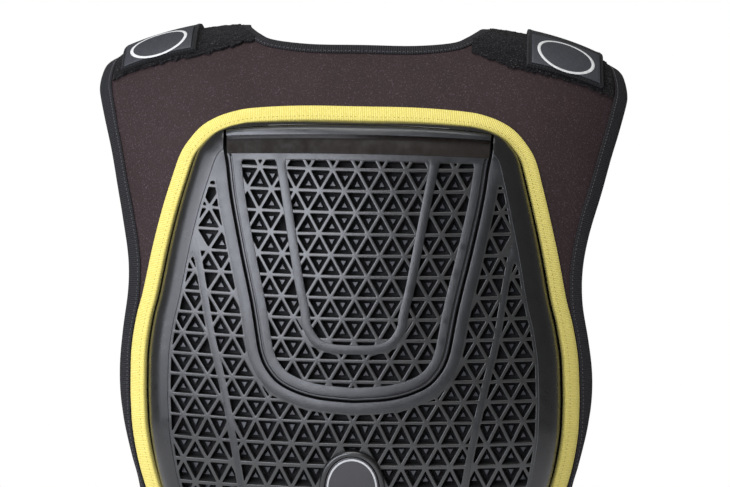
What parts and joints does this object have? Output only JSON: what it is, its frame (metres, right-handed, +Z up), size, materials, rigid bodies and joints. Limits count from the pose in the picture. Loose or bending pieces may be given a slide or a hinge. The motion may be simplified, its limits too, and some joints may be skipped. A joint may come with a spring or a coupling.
{
  "type": "motorcycle armour harness",
  "caption": "Wearable back protector harness: cloth back panel with a pierced hard shell and insert, shoulder straps with hook tabs, and a waist belt.",
  "frame": {"origin": "midway between the shoulder straps at shoulder crest height, where the wearer's shoulders carry the harness", "axes": "+Z up along the spine, -Y out of the wearer's back, +X to the right of someone looking at that back"},
  "size_m": [0.4056, 0.2836, 0.5491],
  "materials": {
    "panel_cloth": "dark brown stretch laminate",
    "black_tape": "ribbed binding tape",
    "yellow_tape": "ribbed binding tape",
    "shell_plastic": "satin moulded",
    "pad_foam": "matt foam",
    "badge_plastic": "satin",
    "loop_pile": "loop pile",
    "strap_webbing": "elastic webbing",
    "tab_rubber": "soft grained rubber"
  },
  "bodies": {
    "root": {"back_panel": "panel_cloth", "edge_binding": "black_tape", "window_binding": "yellow_tape", "outer_shell": "shell_plastic", "insert_plate": "shell_plastic", "impact_pad": "pad_foam", "badge_collar": "shell_plastic", "badge_disc": "badge_plastic", "shoulder_loop_left": "loop_pile", "shoulder_loop_right": "loop_pile", "strap_left": "strap_webbing", "strap_right": "strap_webbing", "tab_patch_left": "tab_rubber", "tab_patch_right": "tab_rubber", "waist_belt": "strap_webbing", "belt_closure": "loop_pile"}
  },
  "joints": []
}
